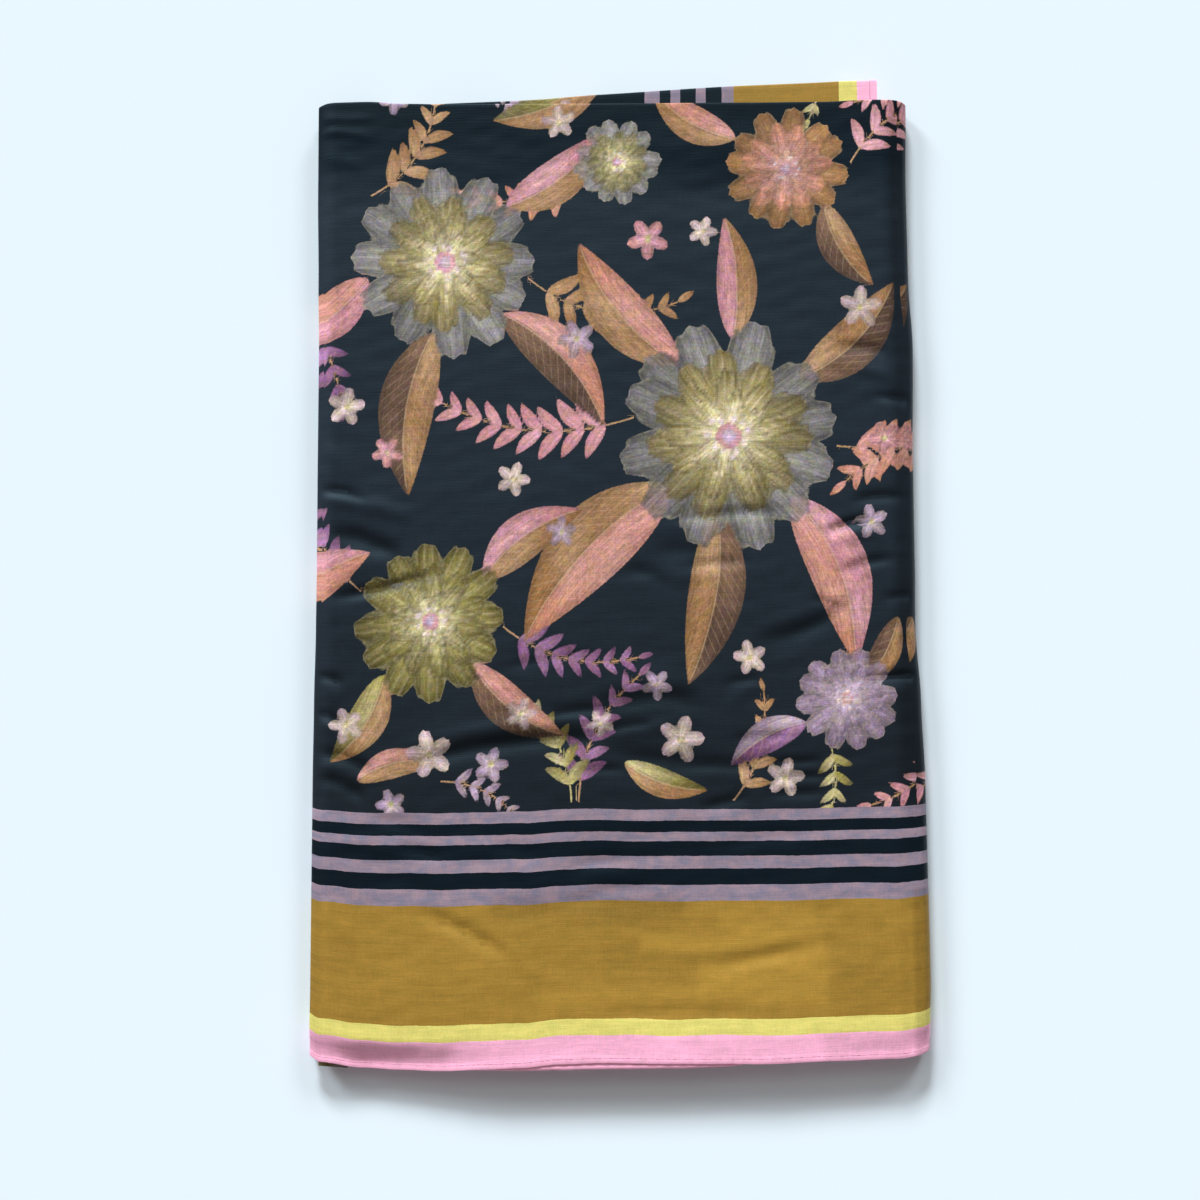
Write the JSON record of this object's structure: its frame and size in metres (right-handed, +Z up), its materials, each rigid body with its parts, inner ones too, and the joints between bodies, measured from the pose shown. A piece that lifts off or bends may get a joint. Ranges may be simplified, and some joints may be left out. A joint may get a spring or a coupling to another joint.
{
  "type": "folded sarong",
  "caption": "Light cotton sarong with a flower print and a striped border, folded into a flat packet and laid on its underside.",
  "frame": {"origin": "on the table under the middle of the folded packet's outline", "axes": "+X to the right fold, +Y to the top fold and away from the hems, +Z up from the table"},
  "size_m": [0.3169, 0.5169, 0.0174],
  "materials": {
    "printed_cotton": "matte plain weave",
    "hem_cotton": "matte plain weave",
    "border_cotton": "matte plain weave"
  },
  "bodies": {
    "root": {"shown_panel": "printed_cotton", "underside_panel": "printed_cotton", "folded_layers": "printed_cotton", "near_hem": "hem_cotton", "under_hem": "hem_cotton", "far_hem": "hem_cotton", "end_hem": "hem_cotton", "end_panel": "border_cotton"}
  },
  "joints": []
}
